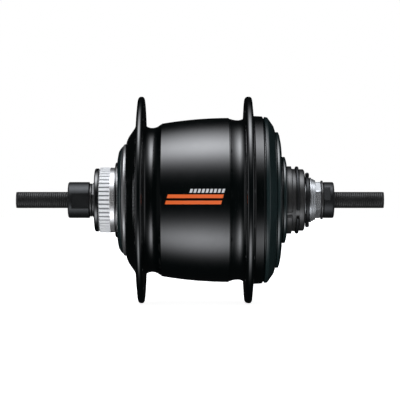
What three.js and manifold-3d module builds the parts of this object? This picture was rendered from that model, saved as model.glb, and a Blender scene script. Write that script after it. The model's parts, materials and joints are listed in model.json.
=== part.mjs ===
// Internal-gear rear bicycle hub with a splined disc-rotor mount, in millimetres.
// Every piece is drawn with the axle along Z, the drive side at +Z and the wheel's top at +Y,
// and a section is a list of [z, r] corners. The last lines lay the axle along X, with the
// drive side at +X and the wheel's top at +Z. The origin is the middle of the axle.
// An angle in the drawing runs from the back (0) by the top (90) to the front (180 degrees).

import * as THREE from "three";
import { mergeVertices } from "three/addons/utils/BufferGeometryUtils.js";
import Module from "manifold-3d";

const wasm = await Module();
wasm.setup();

// ---------------------------------------------------------------- driving dimensions

const TURN = 2 * Math.PI;
const TOP = Math.PI / 2;
const radians = (degrees) => (degrees * Math.PI) / 180;

const GAP = 0.3; // clearance between neighbouring pieces
const SIDES = { shell: 36, large: 24, medium: 18, small: 12 }; // sides of round pieces

const AXLE = { half: 93.5, thread: 4.7625, flats: 8.0, core: 7.4, coreLeft: -36, coreRight: 56 };
const THREAD_BORE = AXLE.thread + GAP;
const NUT = { left: -67.0, right: 68.0, radius: 9.15, across: 16.7, rim: 2.0, chamfer: 0.9 };
const CONE_FLATS = 15.3;
const HEXAGON = 16.0; // across the flats of the drive-side cone

const FLANGE = { radius: 52.6, left: [-31.1, -28.3], right: [22.6, 26.0] };
const SPOKES = { count: 36, circle: 98.0, hole: 2.9 };
const SPLINE = { teeth: 47, tip: 16.6, root: 15.8, left: -51.0, right: -45.3 };

const MODULE = 1.0;
const TEETH = { sunLow: 24, planetLow: 18, sunHigh: 30, planetHigh: 12, ring: 60 };
const TOOTH = { play: 0.22, addendum: 0.9, dedendum: 1.2 }; // play thins each tooth
const PLANETS = 3;
const PLANET_CIRCLE = (MODULE * (TEETH.sunLow + TEETH.planetLow)) / 2;
const GEAR_Z = { sunLow: [2.5, 10], sunHigh: [-8, 0.5], planetLow: [1, 20], ring: [11, 20] };
const CARRIER = { left: [-11, -8.5], right: [20.5, 23.5], radius: 28.6, pillar: [18.5, 27] };
const PIN = { radius: 2.4, sides: 12 };

const SLEEVE = { inner: AXLE.core + GAP, outer: 8.5, left: -9, right: 55.6, travel: radians(86) };
const SUN_BORE = SLEEVE.outer + GAP;
const WINDOW = { from: 53.3, to: 55.7, lug: radians(14), play: radians(1.5) }; // cone windows

// A pawl in the axle swings about its heel. angle is where it lies, tip how far out it reaches,
// and window how many degrees the sleeve is open before and after it.
const SUN_PAWLS = {
  low_sun_pawl: { angle: -TOP, z: [4.5, 8.0], tip: 9.5, window: [30, 24] },
  high_sun_pawl: { angle: radians(30), z: [-6.5, -3.0], tip: 7.3, window: [34, 12] },
};
const SUN_PAWL = {
  length: 5.2, heel: 1.1, heelRadius: 5.6, width: 1.9,
  pocket: { floor: 3.3, depth: 6.3, length: 8.8, shift: -0.7 }, // its recess in the axle
};
const DRIVE_PAWL = { radius: 27.2, tip: 31.6, z: [-15.5, -12.0], half: 3.4, pin: 0.8 };
const RATCHET = { teeth: 24, inner: 33.5, depth: 1.1, outer: 35.7, z: [-16.5, -11.2] };

// The sprocket lies against the driver's shoulder, and the snap ring holds it there.
const DRIVER = { seat: 17.2, shoulder: 46.4, groove: 15.9, ringGroove: 15.2, lip: 15.7, bore: 12.2 };
const RING_GROOVE = [48.15, 50.25];
const SNAP_RING = { radii: [15.5, 17.15], z: [48.45, 49.95], opening: radians(16) };
const SLOTS = { count: 3, width: 3.6, first: radians(206), z: [43.8, 50.25] }; // the first faces the front

// Ball sets: z and r of a ball's centre, ball radius, number of balls.
const BALLS = {
  left_ball_set: { z: -46.5, r: 11.2, ball: 2.4, count: 9 },
  shell_ball_set: { z: 33.5, r: 25.0, ball: 2.4, count: 12 },
  right_ball_set: { z: 44.5, r: 11.8, ball: 2.0, count: 9 },
};
const ROLLERS = { r: 35.3, radius: 1.25, count: 8, z: [10.4, 20.6], rim: 0.6 };
const SPRING = { wire: 0.6, radius: 10.2, z: [30, 40], turns: 4 };

// ---------------------------------------------------------------- materials

const finish = (color, roughness, metalness) =>
  new THREE.MeshStandardMaterial({ color, roughness, metalness });
const gloss = finish(0x0b0d0e, 0.25, 0.4); // black paint on the shell and its covers
const oxide = finish(0x1a1c1c, 0.45, 0.8); // black-oxided steel of the axle and nuts
const bright = finish(0xd6d9dc, 0.2, 1.0); // machined rotor mount
const zinc = finish(0xaab0b8, 0.3, 1.0); // plated cone and washers
const satin = finish(0x8f9396, 0.35, 1.0); // bare end plate
const darkSteel = finish(0x4a4d4c, 0.35, 0.9);
const gearSteel = finish(0x8b8d90, 0.35, 1.0);
const ballSteel = finish(0xc8cacc, 0.1, 1.0);
const rubber = finish(0x101010, 0.8, 0.0);
const plastic = finish(0x141515, 0.5, 0.0);

// ---------------------------------------------------------------- shape helpers

const polar = (radius, angle) => new THREE.Vector2(radius * Math.cos(angle), radius * Math.sin(angle));
const around = (count, make) => Array.from({ length: count }, (_, i) => make((i * TURN) / count, i));
const circle = (radius, sides) => around(sides, (angle) => polar(radius, angle));
const moved = (points, { x, y }) => points.map((point) => new THREE.Vector2(point.x + x, point.y + y));
const rotated = (points, angle) =>
  points.map((point) => point.clone().rotateAround(new THREE.Vector2(), angle));

// A section turned round the Z axis. It starts and ends on the axis, or closes on itself.
function turned(section, sides = SIDES.medium) {
  const points = section.map(([z, r]) => new THREE.Vector2(r, z));
  if (THREE.ShapeUtils.area(points) < 0) points.reverse();
  if (points[0].x > 0) points.push(points[0].clone());
  return solid(new THREE.LatheGeometry(points, sides).rotateX(Math.PI / 2));
}

const ring = (z0, z1, inner, outer, sides) =>
  turned([[z0, inner], [z1, inner], [z1, outer], [z0, outer]], sides);

// An outline in the XY plane, with holes, between two stations.
function prism(outline, [z0, z1], holes = []) {
  const shape = new THREE.Shape(outline);
  shape.holes = holes.map((points) => new THREE.Path(points));
  const settings = { depth: z1 - z0, bevelEnabled: false };
  return solid(new THREE.ExtrudeGeometry(shape, settings).translate(0, 0, z0));
}

const rod = (radius, span, sides, at = polar(0, 0)) => prism(moved(circle(radius, sides), at), span);

// A box whose inner face is at r, turned about Z so that it points along an angle.
function block(r, depth, width, [z0, z1], angle, shift = 0) {
  const box = new THREE.BoxGeometry(depth, width, z1 - z0);
  return solid(box.translate(r + depth / 2, shift, (z0 + z1) / 2).rotateZ(angle));
}

// A stretch of a ring between two angles.
function sector([inner, outer], span, [from, to], steps = 6) {
  const arc = (radius, a, b) =>
    Array.from({ length: steps + 1 }, (_, i) => polar(radius, a + ((b - a) * i) / steps));
  return prism([...arc(outer, from, to), ...arc(inner, to, from)], span);
}

function solid(geometry) {
  geometry.deleteAttribute("normal");
  geometry.deleteAttribute("uv");
  const merged = mergeVertices(geometry, 1e-4);
  return new wasm.Manifold(new wasm.Mesh({
    numProp: 3,
    vertProperties: merged.attributes.position.array,
    triVerts: new Uint32Array(merged.index.array),
  }));
}

const union = (solids) => solids.reduce((all, one) => all.add(one));

const hub = new THREE.Group();
function add(name, made, material) {
  const { vertProperties, triVerts } = made.getMesh();
  const geometry = new THREE.BufferGeometry();
  geometry.setAttribute("position", new THREE.BufferAttribute(vertProperties, 3));
  geometry.setIndex(new THREE.BufferAttribute(triVerts, 1));
  geometry.computeVertexNormals();
  const mesh = new THREE.Mesh(geometry, material);
  mesh.name = name;
  hub.add(mesh);
}

// Two parallel spanner flats on a round piece. Their normals point along an angle.
const flatted = (made, across, span, angle) =>
  around(2, (half) => block(across / 2, 10, 40, span, angle + half))
    .reduce((left, cutter) => left.subtract(cutter), made);

// ---------------------------------------------------------------- gear teeth

// The outline of a spur gear with straight-flanked teeth from root to tip, whose first tooth
// points along an angle. A negative play gives the tooth spaces of an internal gear.
function gearOutline(teeth, angle, { play, addendum, dedendum }) {
  const pressure = radians(20);
  const pitch = (MODULE * teeth) / 2;
  const involute = (a) => Math.tan(a) - a;
  const halfTooth = (radius) => {
    const here = Math.acos(Math.min(1, (pitch * Math.cos(pressure)) / radius));
    return Math.PI / (2 * teeth) - play / (2 * pitch) + involute(pressure) - involute(here);
  };
  const root = pitch - dedendum * MODULE;
  const tip = pitch + addendum * MODULE;
  return around(teeth, (turn) => [
    polar(root, angle + turn - halfTooth(root)), polar(tip, angle + turn - halfTooth(tip)),
    polar(tip, angle + turn + halfTooth(tip)), polar(root, angle + turn + halfTooth(root)),
  ]).flat();
}

const sunGear = (teeth, span) =>
  prism(gearOutline(teeth, TOP, TOOTH), span, [circle(SUN_BORE, SIDES.medium)]);

// ---------------------------------------------------------------- the axle and what is fixed to it

function axle() {
  const { half, thread, flats, core, coreLeft, coreRight } = AXLE;
  const chamfer = 0.7;
  const shaft = turned([
    [-half, 0], [-half, thread - chamfer], [chamfer - half, thread], [coreLeft, thread],
    [coreLeft, core], [coreRight, core], [coreRight, thread], [half - chamfer, thread],
    [half, thread - chamfer], [half, 0],
  ], SIDES.small);
  const leftEnd = flatted(shaft, flats, [-half - 1, coreLeft - 4], TOP);
  const bothEnds = flatted(leftEnd, flats, [coreRight + 3, half + 1], TOP);
  const { floor, depth, length, shift } = SUN_PAWL.pocket;
  return Object.values(SUN_PAWLS).reduce((made, { angle, z }) => {
    const pocket = block(floor, depth, length, [z[0] - GAP, z[1] + GAP], angle, shift);
    return made.subtract(pocket);
  }, bothEnds);
}

// A lock nut, round at its outer face, with two spanner flats on the rest.
function lockNut(outer, inner, angle) {
  const [toward, { radius, chamfer, across, rim }] = [Math.sign(inner - outer), NUT];
  const body = turned([
    [outer, THREAD_BORE], [outer, radius - chamfer], [outer + toward * chamfer, radius],
    [inner, radius], [inner, THREAD_BORE],
  ]);
  const span = [outer + toward * rim, inner + toward].sort((a, b) => a - b);
  return flatted(body, across, span, angle);
}

function leftCone() {
  const body = turned([
    [-54.7, THREAD_BORE], [-54.7, 8.55], [-48.7, 8.55], [-47.2, 8.45], [-43.5, 8.45],
    [-41.5, 7.0], [-41.5, THREAD_BORE],
  ], SIDES.small);
  return flatted(body, CONE_FLATS, [-55, -53.7], radians(135));
}

function rightCone() {
  const body = turned([
    [42.0, SUN_BORE], [42.0, 9.6], [45.5, 9.6], [46.9, 11.0], [52.6, 11.0], [52.8, 10.2],
    [55.7, 10.2], [55.7, 11.5], [56.6, 10.7], [58.5, 10.2], [58.5, 9.2], [61.2, 9.2],
    [61.2, THREAD_BORE], [56.3, THREAD_BORE], [56.3, SUN_BORE],
  ]);
  const windows = around(2, (half) => sector([7, 10.5], [WINDOW.from, WINDOW.to], lugPath(half), 8));
  return around(3, (sixth) => sixth / 2).reduce(
    (made, angle) => flatted(made, HEXAGON, [58.7, 62], angle), body.subtract(union(windows)));
}

// The angles that an actuator lug sweeps, with play at both ends.
const lugPath = (half) => [
  TOP + half - WINDOW.lug / 2 - WINDOW.play,
  TOP + half + WINDOW.lug / 2 + WINDOW.play + SLEEVE.travel,
];

// A coil of round wire about the axle.
class Helix extends THREE.Curve {
  constructor(radius, [z0, z1], turns) {
    super();
    Object.assign(this, { radius, z0, z1, turns });
  }

  getPoint(t) {
    const { x, y } = polar(this.radius, t * this.turns * TURN);
    return new THREE.Vector3(x, y, this.z0 + (this.z1 - this.z0) * t);
  }
}

function returnSpring() {
  const { wire, radius, z, turns } = SPRING;
  const settings = { steps: 8 * turns, extrudePath: new Helix(radius, z, turns), bevelEnabled: false };
  return solid(new THREE.ExtrudeGeometry(new THREE.Shape(circle(wire, 5)), settings));
}

// A sun gear with three notches in its bore for its pawl.
function lowSun() {
  const span = GEAR_Z.sunLow;
  const notch = (angle) => sector([7.5, 10], [span[0] - 1, span[1] + 1], [angle, angle + radians(38)], 3);
  const first = SUN_PAWLS.low_sun_pawl.angle - radians(7);
  return sunGear(TEETH.sunLow, span).subtract(union(around(3, (third) => notch(first + third))));
}

function fixedPieces() {
  add("axle", axle(), oxide);
  add("left_lock_nut", lockNut(NUT.left, -56.2, radians(184)), oxide);
  add("left_lock_washer", ring(-55.9, -55.0, THREAD_BORE, 8.4), zinc);
  add("left_cone", leftCone(), satin);
  add("left_cone_dust_cap", turned([
    [-53.4, 8.9], [-53.4, 15.2], [-52.7, 16.1], [-51.3, 16.1], [-51.3, 8.9],
  ]), plastic);
  add("right_cone", rightCone(), zinc);
  add("right_lock_washer", ring(61.5, 62.4, THREAD_BORE, 9.8), zinc);
  add("right_lock_nut", lockNut(NUT.right, 62.7, radians(158)), oxide);
  add("low_sun_gear", lowSun(), gearSteel);
  add("return_spring", returnSpring(), gearSteel);
  add("spring_seat", ring(26.5, 28.5, SUN_BORE, 11.0), gearSteel);
}

// ---------------------------------------------------------------- shift actuator and sun pawls

function shiftSleeve() {
  const { inner, outer, left, right, travel } = SLEEVE;
  const through = [inner - 1, outer + 1];
  const half = WINDOW.lug / 2 + radians(2);
  const notches = around(2, (turn) =>
    sector(through, [WINDOW.from - 0.1, right + 1], [TOP + turn - half, TOP + turn + half], 2));
  const windows = Object.values(SUN_PAWLS).map(({ angle, z, window: [behind, ahead] }) => {
    const arc = [angle - radians(behind) - travel, angle + radians(ahead)];
    return sector(through, [z[0] - 0.5, z[1] + 0.5], arc, 8);
  });
  return ring(left, right, inner, outer).subtract(union([...notches, ...windows]));
}

function actuatorRing() {
  const half = WINDOW.lug / 2;
  const lugs = around(2, (turn) =>
    sector([7.9, 11], [53.7, 55.1], [TOP + turn - half, TOP + turn + half], 2));
  const tabs = around(2, (turn) => block(11, 2.9, 5, [54.1, 55.1], TOP + turn));
  return union([ring(53.5, 55.4, 10.5, 11.9), ...lugs, ...tabs]);
}

function sunPawl({ angle, z, tip }) {
  const { length, heel, heelRadius, width } = SUN_PAWL;
  return prism(rotated([
    new THREE.Vector2(heelRadius - heel, -length / 2 - heel),
    new THREE.Vector2(heelRadius + heel, -length / 2 - heel),
    new THREE.Vector2(tip, length / 2 - width),
    new THREE.Vector2(tip - GAP, length / 2),
    new THREE.Vector2(heelRadius - heel, length / 2),
  ], angle), z);
}

function shiftPieces() {
  add("shift_sleeve", shiftSleeve(), gearSteel);
  add("actuator_ring", actuatorRing(), oxide);
  for (const [name, pawl] of Object.entries(SUN_PAWLS)) add(name, sunPawl(pawl), gearSteel);
}

// ---------------------------------------------------------------- driver, carrier and caps

function driver() {
  const { seat, shoulder, groove, ringGroove, lip, bore } = DRIVER;
  const [from, to] = RING_GROOVE;
  const body = turned([
    [24.0, bore], [24.0, 26.5], [27.0, 26.5], [30.6, 23.9], [32.3, 22.2], [37.8, 22.2],
    [37.8, 20.0], [41.5, 20.0], [41.5, seat], [shoulder, seat], [shoulder, groove], [from, groove],
    [from, ringGroove], [to, ringGroove], [to, lip], [52.3, lip], [52.9, 14.9],
    [52.9, 14.1], [43.5, 14.1], [42.0, bore],
  ], SIDES.large);
  const { count, width, first, z } = SLOTS;
  return body.subtract(union(around(count, (turn) => block(groove, 4, width, z, first + turn))));
}

function snapRing() {
  const { radii, z, opening } = SNAP_RING;
  return sector(radii, z, [SLOTS.first + opening / 2, SLOTS.first - opening / 2 + TURN], 18);
}

const planetCentre = (turn) => polar(PLANET_CIRCLE, TOP + turn);
const pinHoles = () =>
  union(around(PLANETS, (turn) => rod(PIN.radius + GAP, [-20, 30], PIN.sides, planetCentre(turn))));

function planetCarrier() {
  const { left, right, radius, pillar } = CARRIER;
  const half = radians(15);
  const pillars = around(PLANETS, (turn) => {
    const middle = TOP + turn + Math.PI / PLANETS;
    return sector(pillar, [left[1] + GAP, right[0] + GAP], [middle - half, middle + half], 2);
  });
  return union([ring(...right, DRIVER.bore, radius, SIDES.large), ...pillars]).subtract(pinHoles());
}

const drivePawlPin = new THREE.Vector2(DRIVE_PAWL.radius, 0.5 - DRIVE_PAWL.half);

// The left plate carries the pins of the two direct-drive pawls.
function carrierPlate() {
  const { left, radius } = CARRIER;
  const { z, pin } = DRIVE_PAWL;
  const pins = around(2, (turn) => rod(pin, [z[0], left[0] + GAP], 8, rotated([drivePawlPin], turn)[0]));
  return union([
    ring(...left, SUN_BORE, radius, SIDES.large), ring(z[0] - 0.6, left[0], 20, 25.6, SIDES.large), ...pins,
  ]).subtract(pinHoles());
}

function drivePawl(turn) {
  const { radius, tip, z, half, pin } = DRIVE_PAWL;
  const outline = [
    new THREE.Vector2(radius - 1.3, -half - 0.8), new THREE.Vector2(radius + 1.6, -half - 0.8),
    new THREE.Vector2(tip, half - 1.2), new THREE.Vector2(tip - 0.5, half),
    new THREE.Vector2(radius - 0.2, half - 0.6),
  ];
  const hole = moved(circle(pin + GAP / 2, 8), drivePawlPin);
  return prism(rotated(outline, turn), z, [rotated(hole, turn)]);
}

function driverPieces() {
  add("driver", driver(), darkSteel);
  add("sprocket_snap_ring", snapRing(), oxide);
  add("outer_dust_cap", turned([
    [38.2, 20.3], [38.2, 34.6], [39.6, 34.6], [40.2, 32.4], [41.2, 23.0], [41.2, 20.3],
  ], SIDES.large), gloss);
  add("inner_dust_cap", turned([
    [41.8, 17.5], [41.8, 22.0], [43.1, 22.0], [43.8, 18.6], [43.8, 17.5],
  ]), gloss);
  add("driver_seal", ring(49.4, 52.2, 11.4, 13.8), rubber);
  add("planet_carrier", planetCarrier(), gearSteel);
  add("carrier_left_plate", carrierPlate(), gearSteel);
  around(PLANETS, (turn, i) => {
    const pin = rod(PIN.radius, [CARRIER.left[0], CARRIER.right[1]], PIN.sides, planetCentre(turn));
    add(`planet_pin_${i + 1}`, pin, ballSteel);
  });
}

// ---------------------------------------------------------------- planets, high sun, ring gear

// A stepped planet. A tooth of each sun points at it, so it shows the suns a tooth space.
function planet(turn) {
  const { planetLow, planetHigh } = TEETH;
  const bore = rotated(circle(PIN.radius + GAP, PIN.sides), turn);
  const step = (teeth, span) => {
    const outline = gearOutline(teeth, turn - TOP + Math.PI / teeth, TOOTH);
    const place = planetCentre(turn);
    return prism(moved(outline, place), span, [moved(bore, place)]);
  };
  const [start, end] = GEAR_Z.planetLow;
  return step(planetLow, [start, end]).add(step(planetHigh, [GEAR_Z.sunHigh[0], start + 0.1]));
}

function ringGear() {
  const spaces = { play: -TOOTH.play, addendum: 1.2, dedendum: 0.85 };
  const angle = TOP + Math.PI / TEETH.ring;
  return prism(circle(33.6, SIDES.large), GEAR_Z.ring, [gearOutline(TEETH.ring, angle, spaces)]);
}

function rollerCage() {
  const { r, radius, count, z, rim } = ROLLERS;
  const rollers = around(count, (turn) => rod(radius, [z[0] + 0.5, z[1] - 0.5], 6, polar(r, turn)));
  const rims = [z[0], z[1] - rim].map((start) => ring(start, start + rim, r - 1, r + 1, SIDES.medium));
  return union([...rims, ...rollers]);
}

function gearPieces() {
  around(PLANETS, (turn, i) => add(`planet_gear_${i + 1}`, planet(turn), gearSteel));
  add("high_sun_gear", sunGear(TEETH.sunHigh, GEAR_Z.sunHigh), gearSteel);
  add("ring_gear", ringGear(), gearSteel);
  add("roller_cage", rollerCage(), ballSteel);
  around(2, (turn, i) => add(`drive_pawl_${i + 1}`, drivePawl(turn), gearSteel));
}

// ---------------------------------------------------------------- ball sets

// A thin cage with its balls, as one piece.
function ballSet({ z, r, ball, count }) {
  const half = 0.7;
  const balls = around(count, (turn) => {
    const { x, y } = polar(r, turn);
    return solid(new THREE.SphereGeometry(ball, 5, 4).rotateX(Math.PI / 2).translate(x, y, z));
  });
  return union([ring(z - half, z + half, r - half, r + half, count), ...balls]);
}

// ---------------------------------------------------------------- hub shell and what turns with it

// The rounded rim of a spoke flange, from one face to the other.
function flangeRim([z0, z1]) {
  const { radius } = FLANGE;
  const bevel = (z1 - z0) / 3;
  return [[z0, radius - 1.4], [z0 + bevel, radius], [z1 - bevel, radius], [z1, radius - 1.4]];
}

function hubShell() {
  const { left, right } = FLANGE;
  const body = turned([
    [-37.1, 28.3], [-37.1, 30.2], [-35.9, 32.6], [-33.0, 37.0], [left[0], 38.6], ...flangeRim(left),
    [left[1], 38.8], [-26.4, 37.1], [-22.4, 37.0], [-19.4, 38.8], [-6.0, 40.8], [14.3, 41.8],
    [16.4, 41.1], [20.6, 41.4], [right[0], 43.4], ...flangeRim(right), [right[1], 42.8],
    [31.6, 42.6], [32.5, 42.0], [32.5, 39.4], [26.8, 39.4], [26.8, 38.4], [9.5, 38.4],
    [9.5, 36.0], [-17.2, 36.0], [-20.0, 33.2], [-30.5, 33.2], [-34.0, 28.3],
  ], SIDES.shell);
  const holes = (span, first) => around(SPOKES.count / 2, (turn) =>
    rod(SPOKES.hole / 2, [span[0] - 1, span[1] + 1], 6, polar(SPOKES.circle / 2, turn + first)));
  const half = TURN / SPOKES.count / 2;
  return body.subtract(union([...holes(left, half), ...holes(right, 3 * half)]));
}

// The rotor mount: a splined seat and lip outside, the left ball race inside.
function rotorMount() {
  const { teeth, tip, root, left, right } = SPLINE;
  const core = turned([
    [left, 13.95], [left, 15.2], [right, 15.2], [right, 16.9], [-44.6, 16.9], [-43.9, 15.6],
    [-43.0, 15.2], [-35.0, 15.2], [-35.0, 12.35], [-43.7, 12.35], [-45.4, 13.95],
  ], SIDES.large);
  const serrations = around(teeth, (turn) => [polar(root, turn), polar(tip, turn + Math.PI / teeth)]).flat();
  return core.add(prism(serrations, [left, right], [circle(14.6, SIDES.large)]));
}

function rightCover() {
  return turned([
    [27.2, 36.2], [27.2, 39.1], [32.8, 39.1], [32.8, 42.0], [34.3, 42.0], [36.8, 38.6],
    [37.9, 35.3], [37.9, 26.1], [36.3, 26.1], [34.6, 27.75], [30.5, 27.75], [30.5, 30.5],
    [34.5, 30.5], [34.5, 36.2],
  ], SIDES.shell);
}

function ratchetRing() {
  const { teeth, inner, depth, outer, z } = RATCHET;
  const notches = around(teeth, (turn) => [
    polar(inner, turn), polar(inner + depth, turn + radians(1)), polar(inner, turn + radians(9)),
  ]).flat();
  return prism(circle(outer, SIDES.large), z, [notches]);
}

function shellPieces() {
  add("hub_shell", hubShell(), gloss);
  add("rotor_mount", rotorMount(), bright);
  add("left_dust_cap", turned([[-42.7, 15.6], [-42.7, 19.1], [-41.9, 19.1], [-41.9, 15.6]]), plastic);
  add("left_dust_cover", turned([
    [-41.6, 15.5], [-41.6, 22.4], [-41.1, 24.8], [-39.3, 27.2], [-39.3, 15.5],
  ], SIDES.large), gloss);
  add("left_end_plate", turned([
    [-39.0, 15.5], [-39.0, 27.7], [-37.8, 28.5], [-37.4, 28.0], [-33.5, 28.0], [-33.5, 24.5],
    [-36.5, 24.5], [-36.5, 15.5],
  ], SIDES.large), satin);
  add("clutch_race", ring(10.0, 21.0, 36.9, 38.0, SIDES.shell), gearSteel);
  add("ratchet_ring", ratchetRing(), gearSteel);
  add("right_cover", rightCover(), gloss);
}

fixedPieces();
shiftPieces();
driverPieces();
gearPieces();
for (const [name, set] of Object.entries(BALLS)) add(name, ballSet(set), ballSteel);
shellPieces();

// The drawing's X, Y and Z become the part's Y, Z and X.
const axes = [new THREE.Vector3(0, 1, 0), new THREE.Vector3(0, 0, 1), new THREE.Vector3(1, 0, 0)];
hub.setRotationFromMatrix(new THREE.Matrix4().makeBasis(...axes));
const part = new THREE.Group();
part.add(hub);

export default part;
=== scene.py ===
"""A rear bicycle hub with an internal gear: its looks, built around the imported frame.

The frame is in metres. The axle lies along X with the drive side at +X, and the wheel's top is
at +Z. Sections and clearances below are in millimetres, and an angle about the axle runs from
the front (0 degrees, towards -Y) up to the top (90 degrees, towards +Z).
"""

import json
import math

import bmesh
import bpy
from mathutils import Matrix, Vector


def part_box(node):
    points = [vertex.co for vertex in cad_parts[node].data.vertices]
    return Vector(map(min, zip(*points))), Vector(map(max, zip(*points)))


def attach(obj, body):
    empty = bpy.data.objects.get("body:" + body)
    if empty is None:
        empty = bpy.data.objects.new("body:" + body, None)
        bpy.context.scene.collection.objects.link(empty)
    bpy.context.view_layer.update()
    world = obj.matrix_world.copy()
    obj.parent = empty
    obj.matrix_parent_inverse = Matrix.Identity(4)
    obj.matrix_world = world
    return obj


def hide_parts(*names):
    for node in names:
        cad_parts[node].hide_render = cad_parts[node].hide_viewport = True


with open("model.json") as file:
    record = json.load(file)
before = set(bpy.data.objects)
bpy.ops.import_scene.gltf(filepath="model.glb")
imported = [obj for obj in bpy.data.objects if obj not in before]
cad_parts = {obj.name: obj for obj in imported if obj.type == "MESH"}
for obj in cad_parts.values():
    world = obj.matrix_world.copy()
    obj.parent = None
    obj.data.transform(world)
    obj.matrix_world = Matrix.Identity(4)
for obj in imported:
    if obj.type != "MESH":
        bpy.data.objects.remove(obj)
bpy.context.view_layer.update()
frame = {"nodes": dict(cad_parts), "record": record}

MM = 0.001
TURN = 2 * math.pi
TOP = math.pi / 2


# ------------------------------------------------------------------ sizes

def span(node):
    """The lowest x, highest x and outer radius of a round node, in mm."""
    low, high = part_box(node)
    return low.x / MM, high.x / MM, high.z / MM


AXLE_LEFT, AXLE_RIGHT, _ = span("axle")
NUT_LEFT = span("left_lock_nut")
NUT_RIGHT = span("right_lock_nut")
FLANGE_RADIUS = span("hub_shell")[2]
THREAD = {"major": 4.76, "pitch": 25.4 / 24, "depth": 0.45, "flats": 8.2}
NUT = {"radius": 9.15, "across": 16.7, "rim": 2.0}
LEFT_FLANGE = (-31.0, -28.2)
RIGHT_FLANGE = (22.75, 26.15)
SPOKE = {"count": 18, "circle": 49.0, "hole": 1.45}
SPLINE = {"teeth": 47, "tip": 16.6, "root": 15.6, "left": -51.0, "right": -45.3}
SLOTS = {
    "count": 3, "width": 1.4, "first": math.radians(-26), "from": 43.7, "to": 50.25, "floor": 15.9,
}
SUN_PAWLS = {"low_sun_pawl": -TOP, "high_sun_pawl": math.radians(150)}  # where each lies
POCKET = {"gap": 0.3, "floor": 3.3, "depth": 6.3, "length": 8.8, "aside": 0.7}  # a sun pawl's recess

# The bars printed on the front of the shell: their ends along x and along z.
PALE_BARS = [(-6.2 + 1.95 * i, -4.95 + 1.95 * i, 3.5, 5.4) for i in range(9)]
WARM_BARS = [(-16.5, 10.8, 0.9, 2.7), (-16.5, 10.8, -2.1, -0.3)]


# ------------------------------------------------------------------ mesh tools

def corner_arc(before, here, after, radius, steps):
    """The points of a fillet of a radius at a corner."""
    a, b = (before - here), (after - here)
    half = a.angle(b) / 2
    reach = min(radius / math.tan(half), a.length * 0.49, b.length * 0.49)
    a, b = a.normalized(), b.normalized()
    start, end = here + a * reach, here + b * reach
    centre = here + (a + b).normalized() * (reach / math.cos(half))
    first, last = start - centre, end - centre
    turn = first.angle_signed(last)
    return [centre + rotated(first, turn * i / steps) for i in range(steps + 1)]


def rotated(vector, angle):
    """A plane vector turned clockwise, which is the sense of angle_signed."""
    c, s = math.cos(angle), math.sin(angle)
    return Vector((vector.x * c + vector.y * s, vector.y * c - vector.x * s))


def rounded(section, steps=5):
    """A section of (x, r) or (x, r, fillet) corners, with its fillets as points."""
    flat = [Vector(corner[:2]) for corner in section]
    points = []
    for i, corner in enumerate(section):
        fillet = corner[2] if len(corner) > 2 else 0
        if fillet:
            following = flat[(i + 1) % len(flat)]
            points += corner_arc(flat[i - 1], flat[i], following, fillet, steps)
        else:
            points.append(flat[i])
    return points


def away(angle):
    """The unit vectors away from the axle and across it at an angle."""
    c, s = math.cos(angle), math.sin(angle)
    return Vector((0, -c, s)), Vector((0, s, c))


def around_axle(x, r, angle):
    """A place in metres from its station, radius and angle."""
    return Vector((x, -r * math.cos(angle), r * math.sin(angle))) * MM


def add_object(name, bm, sharp=35):
    """Makes an object of a bmesh, smooth but for edges sharper than an angle in degrees."""
    bm.normal_update()
    bmesh.ops.recalc_face_normals(bm, faces=bm.faces)
    mesh = bpy.data.meshes.new(name)
    bm.to_mesh(mesh)
    bm.free()
    mesh.shade_smooth()
    mesh.set_sharp_from_angle(angle=math.radians(sharp))
    made = bpy.data.objects.new(name, mesh)
    bpy.context.collection.objects.link(made)
    return made


def lathe(name, section, sides=192, shape=None, extra=(), arc=None, sharp=35, steps=5):
    """Turns a closed section about the axle. shape(x, r, angle) may bring a radius in, extra
    adds angles where its edges fall, and arc limits the turn to a stretch with closed ends."""
    points = rounded(section, steps)
    first, last = arc or (0, TURN)
    count = sides if arc is None else sides + 1
    angles = [first + (last - first) * i / sides for i in range(count)]
    angles = sorted(set(angles) | {angle % TURN for angle in extra})
    bm = bmesh.new()
    rows = []
    for x, r in points:
        if r < 1e-9:
            rows.append([bm.verts.new((x * MM, 0, 0))] * len(angles))
            continue
        radii = [shape(x, r, angle) if shape else r for angle in angles]
        rows.append([bm.verts.new(around_axle(x, *pair)) for pair in zip(radii, angles)])
    wraps = range(len(angles)) if arc is None else range(len(angles) - 1)
    for i, row in enumerate(rows):
        following = rows[(i + 1) % len(rows)]
        for j in wraps:
            k = (j + 1) % len(angles)
            corners = dict.fromkeys((row[j], following[j], following[k], row[k]))
            if len(corners) > 2:
                bm.faces.new(corners)
    if arc:
        bm.faces.new([row[0] for row in rows])
        bm.faces.new([row[-1] for row in rows])
    return add_object(name, bm, sharp)


def flats(x0, x1, across, normals):
    """A shape for lathe, with spanner flats between two stations."""
    def shape(x, r, angle):
        if not x0 <= x <= x1:
            return r
        limits = [across / 2 / max(math.cos(angle - normal), 1e-6) for normal in normals]
        return min([r, *limits])
    return shape


def flat_edges(across, radius, normals):
    """The angles at which flats of a width across cut a round of a radius."""
    half = math.acos(across / 2 / radius)
    return [normal + side * half for normal in normals for side in (-1, 1)]


def both_sides(angle):
    """An angle and the one across the axle from it."""
    return [angle, angle + math.pi]


def replaced_mesh(made, other, operation, sharp=35):
    """Joins another object to a piece or cuts it away, and removes the other."""
    modifier = made.modifiers.new("solid", "BOOLEAN")
    modifier.operation = operation
    modifier.solver = "MANIFOLD"
    modifier.object = other
    depsgraph = bpy.context.evaluated_depsgraph_get()
    mesh = bpy.data.meshes.new_from_object(made.evaluated_get(depsgraph))
    made.modifiers.clear()
    old, made.data = made.data, mesh
    bpy.data.meshes.remove(old)
    bpy.data.objects.remove(other)
    mesh.set_sharp_from_angle(angle=math.radians(sharp))
    return made


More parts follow.
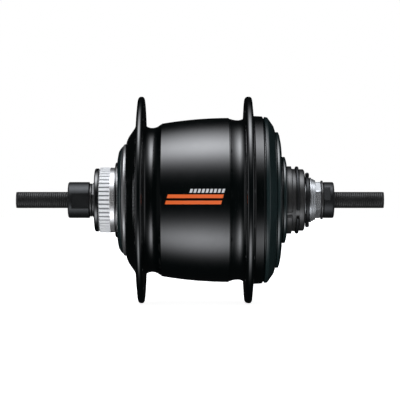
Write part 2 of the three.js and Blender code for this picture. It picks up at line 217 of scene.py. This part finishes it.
def rounded_block(name, centre, size, angle, edge, aside=0.0):
    """A block in mm with rounded edges: centre is (x, r), size is along x, outward and across,
    and aside moves it across."""
    bm = bmesh.new()
    bmesh.ops.create_cube(bm, size=1)
    bmesh.ops.scale(bm, vec=size, verts=bm.verts)
    bmesh.ops.bevel(bm, geom=bm.edges[:], offset=edge, segments=3, profile=0.5, affect="EDGES")
    x, r = centre
    out, side = away(angle)
    for vert in bm.verts:
        along, outward, across = vert.co
        vert.co = (Vector((x + along, 0, 0)) + out * (r + outward) + side * (aside + across)) * MM
    return add_object(name, bm)


# ------------------------------------------------------------------ material tools

RINGS = 9000.0  # the scale of the turned rings, per metre
GRAIN = 2600.0  # the scale of a moulded grain, per metre


class Nodes:
    """Short calls for a node tree. A value that is a socket is linked, any other is set."""

    def __init__(self, tree):
        self.tree = tree
        tree.nodes.clear()

    def add(self, kind, out=0, settings=None, **inputs):
        """Adds a node and gives one of its outputs. An input is named, or is i and its number."""
        node = self.tree.nodes.new(kind)
        for key, value in (settings or {}).items():
            setattr(node, key, value)
        for key, value in inputs.items():
            name = key.replace("_", " ")
            index = int(key[1:]) if key[0] == "i" and key[1:].isdigit() else name
            self.put(node.inputs[index], value)
        return node.outputs[out] if node.outputs else node

    def put(self, socket, value):
        """Links a socket's value to an input, or sets a plain one."""
        if isinstance(value, bpy.types.NodeSocket):
            self.tree.links.new(value, socket)
        else:
            socket.default_value = value

    def math(self, operation, a, b=0.0, c=0.0):
        return self.add("ShaderNodeMath", settings={"operation": operation}, i0=a, i1=b, i2=c)

    def steps(self, value, low, high, start=0.0, end=1.0):
        """A value's smooth way from start to end as it goes from low to high."""
        return self.add("ShaderNodeMapRange", settings={"interpolation_type": "SMOOTHSTEP"},
                        Value=value, From_Min=low, From_Max=high, To_Min=start, To_Max=end)

    def mix(self, factor, a, b):
        """The colour a where the factor is 0 and b where it is 1."""
        node = self.tree.nodes.new("ShaderNodeMix")
        node.data_type = "RGBA"
        self.put(node.inputs["Factor"], factor)
        self.put(node.inputs[6], a)
        self.put(node.inputs[7], b)
        return node.outputs[2]

    def noise(self, vector, scale, detail=3.0, roughness=0.5):
        return self.add("ShaderNodeTexNoise", Vector=vector, Scale=scale, Detail=detail,
                        Roughness=roughness)

    def place(self):
        """The object's own coordinates, which are the frame's."""
        return self.add("ShaderNodeTexCoord", out=3)

    def split(self, vector):
        """A vector's x, y and z."""
        return self.add("ShaderNodeSeparateXYZ", Vector=vector).node.outputs

    def height_round(self, y, z):
        """The angle about the axle, from the front up."""
        return self.math("ARCTAN2", z, self.math("MULTIPLY", y, -1.0))

    def about_axle(self, place):
        """x, radius and angle about the axle."""
        x, y, z = self.split(place)
        squares = self.math("ADD", self.math("MULTIPLY", y, y), self.math("MULTIPLY", z, z))
        return x, self.math("SQRT", squares), self.height_round(y, z)

    def turned_marks(self, x, radius, angle, scale):
        """Fine rings about the axle, as a lathe tool leaves them, a little broken along the turn."""
        along_turn = 1.5
        vector = self.add("ShaderNodeCombineXYZ", X=self.math("MULTIPLY", x, scale),
                          Y=self.math("MULTIPLY", radius, scale),
                          Z=self.math("MULTIPLY", angle, along_turn))
        return self.noise(vector, 1.0, 4.0, 0.65)


def shade(nodes, normal=None, **inputs):
    """Ends a material in a principled shader with these inputs."""
    shader = nodes.tree.nodes.new("ShaderNodeBsdfPrincipled")
    for key, value in inputs.items():
        nodes.put(shader.inputs[key.replace("_", " ")], value)
    if normal is not None:
        nodes.put(shader.inputs["Normal"], normal)
    output = nodes.tree.nodes.new("ShaderNodeOutputMaterial")
    nodes.tree.links.new(shader.outputs[0], output.inputs[0])


def new_material(name):
    """A new material and the nodes to fill it with."""
    material = bpy.data.materials.new(name)
    material.use_nodes = True
    return material, Nodes(material.node_tree)


def grey(level, tint=0.0):
    """A grey, cooler as its tint grows."""
    return (level * (1 - tint), level, level * (1 + tint), 1)


def cool_black(level):
    """A black with a little less red than green and blue."""
    return (level * 0.6, level * 1.1, level * 1.15, 1)


def worn_edges(nodes, low, high):
    """1 on convex edges and 0 elsewhere."""
    point = nodes.add("ShaderNodeNewGeometry").node.outputs["Pointiness"]
    return nodes.steps(point, low, high)


def decal_mask(nodes, x, z, bars, slant=0.3, edge=0.00008):
    """Where slanted bars of (x0, x1, z0, z1) in mm are printed."""
    leaning = nodes.math("MULTIPLY_ADD", z, -slant, x)
    total = 0.0
    for x0, x1, z0, z1 in bars:
        sides = [
            nodes.steps(leaning, x0 * MM - edge, x0 * MM + edge),
            nodes.steps(leaning, x1 * MM - edge, x1 * MM + edge, 1.0, 0.0),
            nodes.steps(z, z0 * MM - edge, z0 * MM + edge),
            nodes.steps(z, z1 * MM - edge, z1 * MM + edge, 1.0, 0.0),
        ]
        bar = nodes.math("MULTIPLY", nodes.math("MULTIPLY", sides[0], sides[1]),
                         nodes.math("MULTIPLY", sides[2], sides[3]))
        total = nodes.math("MAXIMUM", total, bar)
    return total


def paint(name, stripes=False, level=0.0022, rough=0.15):
    """Gloss black paint with a faint orange peel, thinner on the edges."""
    material, nodes = new_material(name)
    place = nodes.place()
    cloud = nodes.noise(place, 60.0, 4.0)
    colour = nodes.mix(cloud, cool_black(level * 0.8), cool_black(level * 1.2))
    worn = nodes.math("MULTIPLY", worn_edges(nodes, 0.56, 0.66), 0.25)
    colour = nodes.mix(worn, colour, grey(0.03))
    smudge = nodes.noise(place, 220.0, 5.0, 0.6)
    roughness = nodes.steps(smudge, 0.3, 0.75, rough - 0.025, rough + 0.03)
    if stripes:
        x, y, z = nodes.split(place)
        front = nodes.steps(y, -0.001, 0.0, 1.0, 0.0)
        pale = nodes.math("MULTIPLY", front, decal_mask(nodes, x, z, PALE_BARS))
        warm = nodes.math("MULTIPLY", front, decal_mask(nodes, x, z, WARM_BARS))
        colour = nodes.mix(pale, colour, (0.62, 0.64, 0.66, 1))
        colour = nodes.mix(warm, colour, (0.85, 0.13, 0.012, 1))
        roughness = nodes.math("MULTIPLY_ADD", nodes.math("ADD", pale, warm), 0.15, roughness)
    peel = nodes.noise(place, 900.0, 2.0)
    bump = nodes.add("ShaderNodeBump", Strength=0.05, Distance=0.00005, Height=peel)
    shade(nodes, bump, Base_Color=colour, Roughness=roughness, IOR=1.85)
    return material


def steel(name, level, rough, marks, metallic=0.8, blotch=0.15, tint=0.0):
    """Turned or ground metal: fine rings about the axle, soft blotches, brighter edges."""
    material, nodes = new_material(name)
    place = nodes.place()
    rings = nodes.turned_marks(*nodes.about_axle(place), RINGS)
    blotches = nodes.steps(nodes.noise(place, 140.0, 5.0, 0.6), 0.3, 0.7)
    colour = nodes.mix(blotches, grey(level * (1 - blotch), tint), grey(level, tint))
    scratches = nodes.math("MULTIPLY", nodes.steps(rings, 0.35, 0.65, 1.0, 0.0), marks * 0.5)
    colour = nodes.mix(scratches, colour, grey(level * 0.6, tint))
    edge = nodes.math("MULTIPLY", worn_edges(nodes, 0.54, 0.64), 0.35)
    colour = nodes.mix(edge, colour, grey(min(1.0, level * 1.6 + 0.06), tint))
    roughness = nodes.steps(rings, 0.25, 0.75, rough * 0.85, rough * 1.2)
    bump = nodes.add("ShaderNodeBump", Strength=0.08, Distance=0.00003, Height=rings)
    shade(nodes, bump, Base_Color=colour, Roughness=roughness, Metallic=metallic)
    return material


def rotor_seat(name):
    """Blasted, nearly white splines beside a turned and polished lip, with painted shade darkening the
    spline grooves.
    """
    material, nodes = new_material(name)
    place = nodes.place()
    x, radius, angle = nodes.about_axle(place)
    splines = nodes.steps(x, -0.0456, -0.0452, 1.0, 0.0)
    rings = nodes.turned_marks(x, radius, angle, RINGS)
    cloud = nodes.noise(place, 300.0, 4.0, 0.6)
    polished = nodes.mix(cloud, grey(0.84), grey(0.92))
    blasted = nodes.mix(cloud, (0.88, 0.90, 0.92, 1), (0.95, 0.96, 0.98, 1))
    # Painted shade: below the teeth's tips the grooves are painted a darker grey, standing in for the
    # shade their walls cast.
    depth = nodes.steps(radius, 0.0157, 0.0164)
    blasted = nodes.mix(depth, (0.34, 0.35, 0.37, 1), blasted)
    colour = nodes.mix(splines, polished, blasted)
    metallic = nodes.math("MULTIPLY_ADD", splines, -0.72, 0.8)
    roughness = nodes.math("MULTIPLY_ADD", splines, 0.2, nodes.steps(rings, 0.25, 0.75, 0.17, 0.24))
    bump = nodes.add("ShaderNodeBump", Strength=0.06, Distance=0.00003, Height=rings)
    shade(nodes, bump, Base_Color=colour, Roughness=roughness, Metallic=metallic)
    return material


def moulded(name, level, rough, bumps=0.25, ior=1.5):
    """Moulded plastic or rubber: a fine spark-eroded grain."""
    material, nodes = new_material(name)
    place = nodes.place()
    fine = nodes.noise(place, GRAIN, 3.0, 0.6)
    broad = nodes.noise(place, 90.0, 4.0)
    colour = nodes.mix(broad, grey(level * 0.75, 0.05), grey(level * 1.25, 0.05))
    roughness = nodes.steps(fine, 0.3, 0.7, rough - 0.05, rough + 0.06)
    bump = nodes.add("ShaderNodeBump", Strength=bumps, Distance=0.00004, Height=fine)
    shade(nodes, bump, Base_Color=colour, Roughness=roughness, IOR=ior)
    return material


MATERIALS = {
    "gloss_black_shell": paint("gloss_black_shell", stripes=True),
    "black_cover": paint("black_cover", level=0.02, rough=0.18),
    "axle_steel": steel("axle_steel", 0.13, 0.40, 0.4, metallic=0.88, blotch=0.3),
    "black_oxide_steel": steel("black_oxide_steel", 0.05, 0.34, 0.3, tint=0.04),
    "satin_steel": steel("satin_steel", 0.42, 0.30, 0.4),
    "bright_aluminium": rotor_seat("bright_aluminium"),
    "plated_steel": steel("plated_steel", 0.88, 0.22, 0.2, metallic=0.85, blotch=0.06, tint=0.03),
    "driver_steel": steel("driver_steel", 0.115, 0.30, 0.5, metallic=0.78, blotch=0.25),
    "gear_steel": steel("gear_steel", 0.34, 0.30, 0.5),
    "ball_steel": steel("ball_steel", 0.60, 0.12, 0.1, metallic=0.9, blotch=0.06),
    "seal_rubber": moulded("seal_rubber", 0.018, 0.62),
    "black_plastic": moulded("black_plastic", 0.004, 0.15, bumps=0.05, ior=2.0),
}

SLOTS_BY_NODE = {part["node"]: part["material_slot"] for part in frame["record"]["subparts"]}
BODY_BY_NODE = {
    node: body
    for body, nodes in frame["record"]["behaviour"]["bodies"].items()
    for node in nodes
}


def stands_for(made, node):
    """Puts a piece in a CAD node's place, on its body, with its finish."""
    slot = SLOTS_BY_NODE[node]
    made.data.materials.clear()
    made.data.materials.append(MATERIALS[slot])
    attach(made, BODY_BY_NODE[node])
    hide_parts(node)


# ------------------------------------------------------------------ axle, nuts and cones

def make_axle():
    """The axle, with two rolled threads filed flat above and below, and the sun pawls' pockets."""
    major, pitch, depth = THREAD["major"], THREAD["pitch"], THREAD["depth"]
    chamfer = 0.7
    samples = 12
    def threaded(x0, x1):
        count = round((x1 - x0) / pitch * samples)
        return [(x0 + (x1 - x0) * i / count, major) for i in range(count + 1)]
    core = span("axle")[2]
    left_end, right_end = AXLE_LEFT, AXLE_RIGHT
    section = [
        (left_end, 0), (left_end, major - chamfer), *threaded(left_end + chamfer, -56),
        (-55.5, major - depth), (-36.2, major - depth), (-36.0, core), (56.0, core),
        (56.2, major - depth), (60.5, major - depth), *threaded(61, right_end - chamfer),
        (right_end, major - chamfer), (right_end, 0),
    ]
    def shape(x, r, angle):
        if -55.9 < x < 60.9:
            return r
        place = (x / pitch - angle / TURN) % 1
        slope = min(abs(2 * place - 1) * 1.25, 1)
        limit = THREAD["flats"] / 2 / max(abs(math.sin(angle)), 1e-6)
        return min(r, major - depth * slope, limit)
    edges = flat_edges(THREAD["flats"], major, both_sides(TOP))
    made = lathe("axle_piece", section, 120, shape, edges, sharp=40)
    for pawl, angle in SUN_PAWLS.items():
        x0, x1 = span(pawl)[:2]
        centre = ((x0 + x1) / 2, POCKET["floor"] + POCKET["depth"] / 2)
        size = (x1 - x0 + 2 * POCKET["gap"], POCKET["depth"], POCKET["length"])
        pocket = rounded_block("pocket", centre, size, angle, 0.2, POCKET["aside"])
        made = replaced_mesh(made, pocket, "DIFFERENCE", sharp=40)
    stands_for(made, "axle")


def make_nut(name, node, outer, inner, normal):
    """A lock nut, round at its outer face, with two spanner flats on the rest."""
    radius, across, rim = NUT["radius"], NUT["across"], NUT["rim"]
    toward = 1 if inner > outer else -1
    step = outer + toward * rim
    bore = THREAD["major"] + 0.25
    section = [
        (outer, bore, 0.3), (outer, radius, 0.85), (step, radius), (step + toward * 0.02, radius),
        (inner - toward * 0.25, radius), (inner, radius - 0.25), (inner, bore),
    ]
    low, high = sorted((step + toward * 0.01, inner + toward))
    normals = both_sides(normal)
    shape = flats(low, high, across, normals)
    stands_for(lathe(name, section, 128, shape, flat_edges(across, radius, normals)), node)


def make_cones():
    """The left cone with two spanner flats, and the right one with a hexagon and two windows."""
    bore = THREAD["major"] + 0.25
    normals = both_sides(math.radians(45))
    left_flats, right_flats = 15.3, 16.0
    left = [
        (-54.7, bore), (-54.7, 8.4), (-54.5, 8.6), (-53.72, 8.6), (-53.7, 8.6), (-48.7, 8.5),
        (-47.2, 8.4, 1.0), (-43.5, 8.4), (-41.5, 7.0), (-41.5, bore),
    ]
    shape = flats(-55, -53.71, left_flats, normals)
    edges = flat_edges(left_flats, 8.6, normals)
    stands_for(lathe("left_cone_piece", left, 128, shape, edges), "left_cone")
    hexagon = [math.radians(60 * i - 3) for i in range(6)]
    right = [
        (42.0, 8.85), (42.0, 9.6, 0.2), (45.5, 9.6, 1.0), (46.9, 11.0, 1.0), (52.6, 11.0, 0.2),
        (52.8, 10.2, 0.1), (55.7, 10.2), (55.7, 11.5, 0.25), (56.5, 11.35, 0.2), (56.7, 10.75, 0.1),
        (57.6, 10.65, 0.2), (57.8, 10.25, 0.1), (58.5, 10.2, 0.3), (58.6, 8.9), (58.9, 9.24),
        (60.9, 9.24), (61.2, 8.9), (61.2, bore), (56.3, bore), (56.3, 8.85),
    ]
    shape = flats(58.55, 61.3, right_flats, hexagon)
    corners = [angle + math.radians(30) for angle in hexagon]
    made = lathe("right_cone_piece", right, 144, shape, corners)
    opening = [(53.3, 7.5), (55.7, 7.5), (55.7, 10.6), (53.3, 10.6)]
    for side in both_sides(TOP):
        window = lathe("window", opening, 40, arc=window_arc(side))
        made = replaced_mesh(made, window, "DIFFERENCE")
    stands_for(made, "right_cone")


def window_arc(side):
    """The stretch that an actuator lug sweeps, as the shift turns it from the top to the front."""
    lug, play, travel = math.radians(7), math.radians(1.5), math.radians(86)
    return side - lug - play - travel, side + lug + play


def make_washers():
    """The two lock washers and the dust cap of the left cone."""
    bore = THREAD["major"] + 0.3
    for side, x0, x1, radius in (("left", -55.9, -55.0, 8.4), ("right", 61.5, 62.4, 9.9)):
        section = [(x0, bore), (x0, radius, 0.2), (x1, radius, 0.2), (x1, bore)]
        stands_for(lathe(f"{side}_washer_piece", section, 96), f"{side}_lock_washer")
    cap = [(-53.4, 8.9), (-53.4, 15.6, 0.3), (-52.9, 16.1, 0.4), (-51.3, 16.1, 0.35), (-51.3, 8.9)]
    stands_for(lathe("cone_cap_piece", cap, 160), "left_cone_dust_cap")


# ------------------------------------------------------------------ disc side

def make_rotor_mount():
    """The splined seat, whose narrow grooves end at the lip, and the bearing race inside."""
    teeth, tip, root = SPLINE["teeth"], SPLINE["tip"], SPLINE["root"]
    left, right = SPLINE["left"], SPLINE["right"]
    section = [
        (left, 13.95), (left, 15.9, 0.1), (left + 0.5, tip), (right - 0.55, tip), (right, tip),
        (right + 0.05, 16.5), (-44.9, 16.5), (-43.15, 16.45), (-43.0, 16.3), (-43.0, 15.9),
        (-43.0, 15.2), (-35.0, 15.2), (-35.0, 12.35), (-43.7, 12.35), (-45.4, 13.95),
    ]
    def shape(x, r, angle):
        if r < 15.5 or not left <= x <= right:
            return r
        place = (angle * teeth / TURN) % 1
        flank = min(abs(place), abs(1 - place))
        groove = 1 - min(max((flank - 0.1) / 0.15, 0), 1)
        return min(r, tip - (tip - root) * groove)
    made = lathe("rotor_mount_piece", section, teeth * 18, shape, sharp=28)
    stands_for(made, "rotor_mount")


def make_left_covers():
    """The small dust cap, the stepped cover and the satin end plate, from the disc side inwards."""
    cap = [(-42.9, 15.6), (-42.9, 18.7, 0.3), (-42.5, 19.1, 0.3), (-41.8, 19.1), (-41.8, 15.6)]
    stands_for(lathe("left_dust_cap_piece", cap, 160), "left_dust_cap")
    cover = [
        (-41.6, 15.5), (-41.6, 22.3, 1.2), (-41.15, 24.6, 1.5), (-40.3, 26.1, 1.2), (-39.2, 27.45, 0.2),
        (-39.2, 15.5),
    ]
    stands_for(lathe("left_cover_piece", cover, 192), "left_dust_cover")
    plate = [
        (-39.0, 15.5), (-39.0, 27.6, 0.3), (-38.3, 28.4, 0.5), (-37.5, 28.5, 0.1), (-37.4, 28.0),
        (-33.5, 28.0), (-33.5, 24.5), (-36.5, 24.5), (-36.5, 15.5),
    ]
    stands_for(lathe("left_end_plate_piece", plate, 192), "left_end_plate")


# ------------------------------------------------------------------ shell

def groove(centre, bottom, radius, x0, x1, count=12):
    """A round groove of a radius whose lowest point is at (centre, bottom)."""
    xs = [x0 + (x1 - x0) * i / count for i in range(count + 1)]
    return [(x, bottom + radius - math.sqrt(radius ** 2 - (x - centre) ** 2)) for x in xs]


def barrel(count=24):
    """The shell between its grooves, which swells towards the drive side."""
    widest, narrowest, peak, fall = 14.5, -19.3, 41.8, 2.9
    xs = [narrowest + (widest - narrowest) * i / count for i in range(count + 1)]
    return [(x, peak - fall * ((widest - x) / (widest - narrowest)) ** 2) for x in xs]


def make_shell():
    """The shell with its two flanges, the grooves beside them and the seats of its covers."""
    left, right = LEFT_FLANGE, RIGHT_FLANGE
    top = FLANGE_RADIUS
    section = [
        (-37.1, 28.4), (-37.1, 30.0, 0.5), (-36.2, 32.1, 1.5), (-33.1, 36.6, 1.5),
        (left[0] - 1.1, 39.2, 0.8), (left[0] - 0.85, 41.0, 1.5), (left[0] - 0.7, 47.5),
        (left[0] - 0.2, top, 1.5), (left[1], top, 1.38), (left[1] + 0.2, 46.0), (left[1] + 0.3, 38.4, 0.8),
        *groove(-24.3, 36.7, 5.0, -27.6, -24.3), *groove(-24.3, 36.7, 6.0, -24.0, -20.6),
        (-19.6, 38.6, 0.2), *barrel(), (14.8, 41.3, 0.1),
        *groove(19.2, 40.62, 11.0, 15.1, 19.2), *groove(19.2, 40.62, 4.8, 19.6, 22.0),
        (right[0] - 0.5, 43.4, 0.6), (right[0] - 0.45, 47.0), (right[0] - 0.1, top, 1.9),
        (right[1], top, 1.3), (right[1] + 0.5, 47.5), (right[1] + 0.9, 42.8, 0.5), (31.5, 42.58, 0.3),
        (32.0, 41.6, 0.2), (32.0, 39.4), (26.8, 39.4), (26.8, 38.4), (9.5, 38.4), (9.5, 36.0),
        (-17.2, 36.0), (-20.0, 33.2), (-30.5, 33.2), (-34.0, 28.4),
    ]
    made = lathe("shell_piece", section, 288, sharp=30, steps=8)
    half = TURN / SPOKE["count"] / 4
    faces = ((left[0] - 0.6, left[1] + 0.1), (right[0] - 0.35, right[1] + 0.3))
    for flange, start in zip(faces, (3 * half, half)):
        for i in range(SPOKE["count"]):
            drill = spoke_cutter(flange, start + TURN * i / SPOKE["count"])
            made = replaced_mesh(made, drill, "DIFFERENCE")
    stands_for(made, "hub_shell")


def spoke_cutter(flange, angle):
    """The drill of one spoke hole, with a small countersink at both faces."""
    hole, sides, lip = SPOKE["hole"], 20, 0.45
    stations = [
        (flange[0] - 1, hole + lip + 1), (flange[0] + lip, hole),
        (flange[1] - lip, hole), (flange[1] + 1, hole + lip + 1),
    ]
    bm = bmesh.new()
    centre = around_axle(0, SPOKE["circle"], angle)
    rings = [[bm.verts.new(centre + around_axle(x, r, TURN * i / sides)) for i in range(sides)]
             for x, r in stations]
    for near, far in zip(rings, rings[1:]):
        for i in range(sides):
            k = (i + 1) % sides
            bm.faces.new((near[i], far[i], far[k], near[k]))
    bm.faces.new(rings[0])
    bm.faces.new(rings[-1])
    return add_object("drill", bm)


def make_right_covers():
    """The drive-side cover and the two dust caps that turn with the driver."""
    cover = [
        (27.2, 36.2), (27.2, 39.1), (32.3, 39.1), (32.3, 41.6, 0.1), (32.6, 42.35, 0.2),
        (34.1, 42.1, 0.7),
        (37.2, 37.7, 1.4), (37.95, 35.3, 0.4), (37.95, 26.1), (36.3, 26.1), (34.6, 27.75), (30.5, 27.75),
        (30.5, 30.5), (34.5, 30.5), (34.5, 36.2),
    ]
    stands_for(lathe("right_cover_piece", cover, 240), "right_cover")
    outer = [
        (38.25, 20.3), (38.25, 34.6, 0.3), (39.6, 34.6, 0.45), (40.1, 33.2, 0.8), (40.75, 30.0, 4.0),
        (41.3, 23.1, 0.3), (41.3, 20.3),
    ]
    stands_for(lathe("outer_dust_cap_piece", outer, 240), "outer_dust_cap")
    inner = [(41.8, 17.5), (41.8, 22.0, 0.3), (43.1, 22.0, 0.4), (43.7, 19.8, 0.8), (43.85, 17.5)]
    stands_for(lathe("inner_dust_cap_piece", inner, 200), "inner_dust_cap")


# ------------------------------------------------------------------ driver and shift actuator

def make_driver():
    """The driver with its sprocket seat and slots, the snap ring and the seal."""
    section = [
        (24.0, 12.2), (24.0, 26.5), (27.0, 26.5), (30.6, 23.9), (32.3, 22.2), (37.8, 22.2), (37.8, 20.0),
        (41.5, 20.0), (41.5, 17.2), (44.1, 17.2), (44.15, 17.0), (44.3, 17.2), (46.4, 17.2, 0.3),
        (46.4, 15.9, 0.25), (48.15, 15.9, 0.1), (48.15, 15.2), (50.25, 15.2), (50.25, 15.7, 0.1),
        (52.4, 15.7, 0.4), (52.9, 15.0, 0.2), (52.9, 14.1, 0.2), (43.5, 14.1), (42.0, 12.2),
    ]
    made = lathe("driver_piece", section, 216)
    for i in range(SLOTS["count"]):
        made = replaced_mesh(made, slot_cutter(SLOTS["first"] + TURN * i / SLOTS["count"]), "DIFFERENCE")
    stands_for(made, "driver")
    opening = math.radians(8)
    ring = [(48.4, 15.5, 0.2), (48.4, 17.15, 0.6), (50.0, 17.15, 0.6), (50.0, 15.5, 0.2)]
    arc = (SLOTS["first"] + opening, SLOTS["first"] - opening + TURN)
    stands_for(lathe("snap_ring_piece", ring, 160, arc=arc), "sprocket_snap_ring")
    seal = [
        (49.4, 11.4), (49.4, 13.8), (51.9, 13.8, 0.3), (52.1, 12.6, 0.2), (51.6, 12.2, 0.2),
        (52.2, 11.4, 0.2),
    ]
    stands_for(lathe("driver_seal_piece", seal, 120), "driver_seal")


def slot_cutter(angle):
    """The cutter of a sprocket slot, which narrows to its floor."""
    reach, slope = 3, 0.9
    low, high = SLOTS["floor"], SLOTS["floor"] + reach
    out, side = away(angle)
    bm = bmesh.new()
    rings = []
    for x in (SLOTS["from"], SLOTS["to"]):
        corners = []
        for r, way in ((low, -1), (low, 1), (high, 1), (high, -1)):
            half = SLOTS["width"] / 2 + (r - low) * slope
            corners.append(bm.verts.new((Vector((x, 0, 0)) + out * r + side * way * half) * MM))
        rings.append(corners)
    near, far = rings
    for i in range(4):
        k = (i + 1) % 4
        bm.faces.new((near[i], far[i], far[k], near[k]))
    bm.faces.new(near)
    bm.faces.new(far)
    return add_object("slot", bm)


def make_actuator():
    """The actuator ring, with two tabs for the shift unit and two lugs into the sleeve."""
    ring = [(53.5, 10.5, 0.1), (53.5, 11.6, 0.2), (53.9, 11.9, 0.2), (55.4, 11.9, 0.3), (55.4, 10.5, 0.1)]
    made = lathe("actuator_piece", ring, 144)
    for side in both_sides(TOP):
        tab = rounded_block("tab", (54.55, 12.5), (1.9, 3.0, 4.6), side, 0.9)
        made = replaced_mesh(made, tab, "UNION")
        lug = rounded_block("lug", (54.4, 9.4), (1.4, 2.9, 2.0), side, 0.15)
        made = replaced_mesh(made, lug, "UNION")
    stands_for(made, "actuator_ring")


make_axle()
make_nut("left_nut_piece", "left_lock_nut", NUT_LEFT[0], NUT_LEFT[1], math.radians(-4))
make_nut("right_nut_piece", "right_lock_nut", NUT_RIGHT[1], NUT_RIGHT[0], math.radians(22))
make_cones()
make_washers()
make_rotor_mount()
make_left_covers()
make_shell()
make_right_covers()
make_driver()
make_actuator()

# The gears, bearings and pawls inside keep their CAD shape.
for node, piece in frame["nodes"].items():
    if not piece.hide_render:
        piece.data.materials.clear()
        piece.data.materials.append(MATERIALS[SLOTS_BY_NODE[node]])


# ------------------------------------------------------------------ studio

def make_floor():
    """A wide pale floor just under the flanges, kept out of reflections."""
    bm = bmesh.new()
    half, gap = 4.0, 0.0005
    low = -FLANGE_RADIUS * MM - gap
    corners = [(-half, -half), (half, -half), (half, half), (-half, half)]
    bm.faces.new([bm.verts.new((x, y, low)) for x, y in corners])
    floor = add_object("floor", bm)
    material, nodes = new_material("floor_white")
    diffuse = nodes.add("ShaderNodeBsdfDiffuse", Color=(0.8, 0.8, 0.8, 1))
    glow = nodes.add("ShaderNodeEmission", Color=(1, 1, 1, 1), Strength=0.93)
    both = nodes.add("ShaderNodeAddShader", i0=diffuse, i1=glow)
    nodes.add("ShaderNodeOutputMaterial", Surface=both)
    floor.data.materials.append(material)
    floor.visible_glossy = False
    floor.visible_diffuse = False
    floor.visible_shadow = False


# Each soft light: its height and half-height round the axle in degrees, its place and half-width
# along the axle as a sine, and its strength.
SOFT_LIGHTS = (
    (80, 23, -0.09, 0.33, 4.7), (108, 14, -0.09, 0.33, 0.42), (80, 25, 0, 0.9, 0.35),
    (-57, 21.3, -0.12, 0.28, 2.25), (-57, 20.5, 0, 0.9, 0.2),
)

# The dim light at each end of the axle: its strength, where it starts and is full along the axle as
# a sine, and where it is full and gone towards the back.
END_LIGHT = {"strength": 0.45, "side": (0.76, 0.97), "back": (0.05, 0.28)}
AMBIENT = 0.005


def make_world():
    """A white studio, in which the hub sees soft lights overhead, low in front and at its ends."""
    world = bpy.data.worlds.new("studio")
    bpy.context.scene.world = world
    world.use_nodes = True
    nodes = Nodes(world.node_tree)
    x, y, z = nodes.split(nodes.add("ShaderNodeTexCoord"))
    height = nodes.height_round(y, z)
    light = AMBIENT
    for middle, width, side, breadth, strength in SOFT_LIGHTS:
        up = nodes.math("SUBTRACT", height, math.radians(middle))
        up = nodes.math("DIVIDE", up, math.radians(width))
        across = nodes.math("DIVIDE", nodes.math("SUBTRACT", x, side), breadth)
        spread = nodes.math("ADD", nodes.math("MULTIPLY", up, up), nodes.math("MULTIPLY", across, across))
        lobe = nodes.math("EXPONENT", nodes.math("MULTIPLY", spread, -1.0))
        light = nodes.math("MULTIPLY_ADD", lobe, strength, light)
    ends = nodes.steps(nodes.math("ABSOLUTE", x), *END_LIGHT["side"])
    ahead = nodes.steps(y, *END_LIGHT["back"], END_LIGHT["strength"], 0.0)
    light = nodes.math("MULTIPLY_ADD", ends, ahead, light)
    seen = nodes.add("ShaderNodeLightPath")
    level = nodes.add("ShaderNodeMix", Factor=seen, A=light, B=1.0)
    colour = nodes.mix(seen, (0.965, 0.985, 1.03, 1), (1, 1, 1, 1))
    back = nodes.add("ShaderNodeBackground", Color=colour, Strength=level)
    nodes.add("ShaderNodeOutputWorld", Surface=back)


# Each fill: its height in degrees seen from the axle, its size and its power in watts.
FILLS = {"front_fill": (4, 0.6, 3.0), "floor_bounce": (-50, 0.7, 1.6)}


def make_fills():
    """Broad soft lights kept out of reflections: one in front, one for the light off the floor."""
    distance = 0.8
    for name, (height, size, power) in FILLS.items():
        data = bpy.data.lights.new(name, "AREA")
        data.size = size
        data.energy = power
        up = math.radians(height)
        fill = bpy.data.objects.new(name, data)
        fill.location = (0, -distance * math.cos(up), distance * math.sin(up))
        fill.rotation_euler = (math.pi / 2 - up, 0, 0)
        fill.visible_glossy = False
        bpy.context.collection.objects.link(fill)


def make_camera():
    """At the axle's height, square to it, with the whole axle in the frame."""
    data = bpy.data.cameras.new("camera")
    distance, field = 0.865, 0.204  # to the axle, and the width seen there
    data.sensor_width = 36.0
    data.lens = data.sensor_width * distance / field
    data.clip_start, data.clip_end = 0.01, 50
    camera = bpy.data.objects.new("camera", data)
    camera.location = (0, -distance, 0)
    camera.rotation_euler = (math.pi / 2, 0, 0)
    bpy.context.collection.objects.link(camera)
    bpy.context.scene.camera = camera


make_floor()
make_world()
make_fills()
make_camera()
bpy.context.scene.view_settings.view_transform = "Standard"
